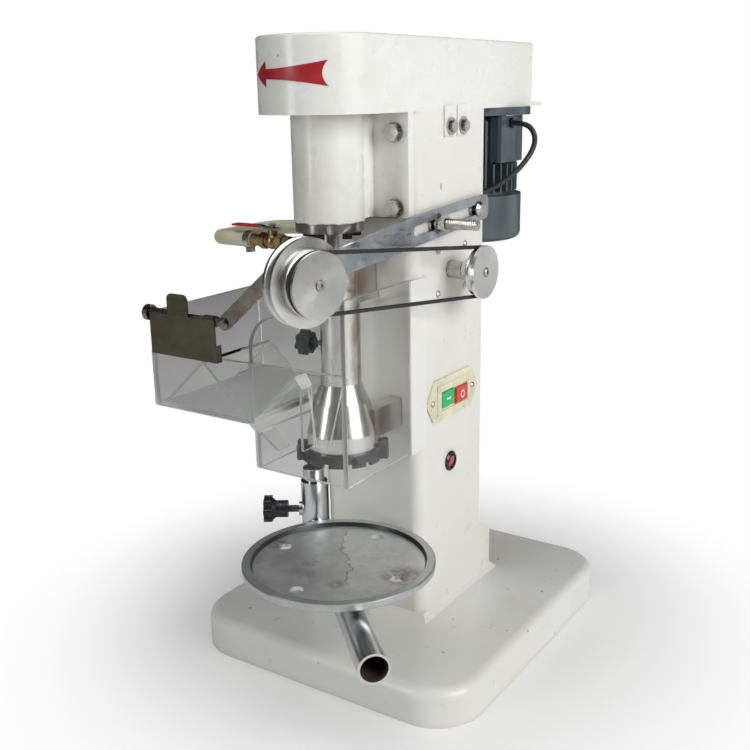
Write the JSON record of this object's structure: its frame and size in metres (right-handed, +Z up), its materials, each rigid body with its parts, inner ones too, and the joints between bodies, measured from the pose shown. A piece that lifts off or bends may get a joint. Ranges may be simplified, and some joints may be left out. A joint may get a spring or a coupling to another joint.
{
  "type": "cup sealing machine",
  "caption": "Column-mounted belt-driven spindle sealing head with clear feed hopper and splash guard, stepped feed pulleys, swivelling round table and rear motor.",
  "frame": {"origin": "centre of the base's underside", "axes": "+X towards the switch side, -Y towards the front where the spindle stands, +Z up"},
  "size_m": [0.366, 0.5247, 0.67],
  "materials": {
    "cast_paint": "light ivory enamel, semi-gloss",
    "cover_paint": "ivory enamel sheet, semi-gloss, with a red arrow",
    "steel": "machined or zinc-plated steel",
    "stainless": "polished stainless with brown weld tint",
    "dark_stainless": "brushed stainless sheet",
    "chrome": "bright chrome plate",
    "aluminium": "turned aluminium",
    "motor_paint": "dark blue-grey enamel",
    "acrylic": "clear acrylic sheet, 5 mm",
    "brass": "dull brass",
    "red_paint": "red dipped vinyl on steel",
    "hose": "translucent cream hose",
    "black_plastic": "black moulded plastic",
    "rubber": "black rubber",
    "cream_plastic": "cream moulded plate",
    "green_plastic": "green moulded button",
    "red_plastic": "red moulded button",
    "black_steel": "black oxide steel"
  },
  "bodies": {
    "frame": {"arm_fasteners": "steel", "base": "cast_paint", "bearing_cap": "steel", "bearings": "steel", "bell_head": "stainless", "belt_cover": "cover_paint", "bottom_plate": "steel", "cable_glands": "black_plastic", "clamp_ring": "black_plastic", "column": "cast_paint", "cover_bolts": "steel", "deck_plate": "cast_paint", "drive_belt": "rubber", "fan_cover": "motor_paint", "feed_belt": "rubber", "feed_bush": "brass", "gearmotor": "black_steel", "guard_front": "acrylic", "guard_right": "acrylic", "hopper_panels": "acrylic", "hopper_sheets": "acrylic", "hose_fittings": "steel", "housing_bolts": "steel", "inner_walls": "acrylic", "motor_housing": "motor_paint", "motor_lead": "rubber", "panel_screws": "steel", "post": "chrome", "rear_cover": "cast_paint", "rocker_bezel": "black_plastic", "side_plate": "cast_paint", "slotted_arm": "steel", "socket_screws": "black_steel", "spindle_housing": "cast_paint", "switch_plate": "cream_plastic", "terminal_box": "motor_paint", "valve_body": "brass", "valve_elbow": "black_plastic", "water_hose": "hose"},
    "spindle": {"spindle_shaft": "steel", "spindle_pulley": "aluminium", "seal_head": "stainless", "seal_pad": "rubber"},
    "rotor": {"motor_shaft": "steel", "motor_pulley": "aluminium"},
    "drive": {"drive_pulley": "aluminium"},
    "feed": {"feed_pulley": "aluminium", "feed_shaft": "steel"},
    "lever": {"press_lever": "steel"},
    "flap": {"press_flap": "dark_stainless"},
    "lift": {"height_collar": "steel"},
    "table": {"table_arm": "chrome", "tray_hub": "aluminium", "tray": "aluminium"},
    "table_knob": {"clamp_knob": "black_plastic"},
    "head_clamp": {"head_knob": "black_plastic"},
    "valve": {"valve_handle": "red_paint"},
    "start_button": {"green_button": "green_plastic"},
    "stop_button": {"red_button": "red_plastic"},
    "light_switch": {"rocker": "red_plastic"}
  },
  "joints": [
    {"name": "motor_spin", "type": "hinge", "parent": "frame", "child": "rotor", "pos_m": [0, 0.14, 0.624], "axis": [0, 0, 1], "continuous": true},
    {"name": "spindle_spin", "type": "hinge", "parent": "frame", "child": "spindle", "pos_m": [0, -0.142, 0.624], "axis": [0, 0, 1], "continuous": true},
    {"name": "feed_spin", "type": "hinge", "parent": "frame", "child": "feed", "pos_m": [0.03505, -0.24184, 0.455], "axis": [0.9636, -0.2672, 0], "continuous": true},
    {"name": "drive_spin", "type": "hinge", "parent": "frame", "child": "drive", "pos_m": [0.1, -0.014, 0.434], "axis": [1, 0, 0], "continuous": true},
    {"name": "lever_swing", "type": "hinge", "parent": "frame", "child": "lever", "pos_m": [0.024, -0.2542, 0.467], "axis": [0, 1, 0], "range_deg": [0, 35]},
    {"name": "flap_swing", "type": "hinge", "parent": "lever", "child": "flap", "pos_m": [-0.1, -0.2542, 0.4098], "axis": [1, 0, 0], "range_deg": [-75, 0]},
    {"name": "table_lift", "type": "slide", "parent": "frame", "child": "lift", "axis": [0, 0, 1], "range_m": [-0.02, 0.05]},
    {"name": "table_swivel", "type": "hinge", "parent": "lift", "child": "table", "pos_m": [-0.078, -0.079, 0.1], "axis": [0, 0, 1], "range_deg": [-60, 1]},
    {"name": "table_clamp_turn", "type": "hinge", "parent": "table", "child": "table_knob", "pos_m": [-0.11124, -0.10125, 0.149], "axis": [-0.831, -0.5563, 0], "range_deg": [-90, 90]},
    {"name": "head_clamp_turn", "type": "hinge", "parent": "frame", "child": "head_clamp", "pos_m": [-0.03, -0.141, 0.368], "axis": [-1, 0, 0], "range_deg": [-90, 90]},
    {"name": "valve_turn", "type": "hinge", "parent": "frame", "child": "valve", "pos_m": [-0.073, -0.142, 0.483], "axis": [0, 0, 1], "range_deg": [0, 90]},
    {"name": "start_push", "type": "slide", "parent": "frame", "child": "start_button", "axis": [-1, 0, 0], "range_m": [0, 0.003], "stiffness_N_per_m": 400, "springref_m": -0.001},
    {"name": "stop_push", "type": "slide", "parent": "frame", "child": "stop_button", "axis": [-1, 0, 0], "range_m": [0, 0.003], "stiffness_N_per_m": 400, "springref_m": -0.001},
    {"name": "rocker_tip", "type": "hinge", "parent": "frame", "child": "light_switch", "pos_m": [0.0625, -0.013, 0.215], "axis": [0, 1, 0], "range_deg": [-14, 0]}
  ],
  "couplings": [
    {"joint": "spindle_spin", "follows": "motor_spin", "ratio": 0.7143},
    {"joint": "drive_spin", "follows": "feed_spin", "ratio": 1.0969}
  ]
}
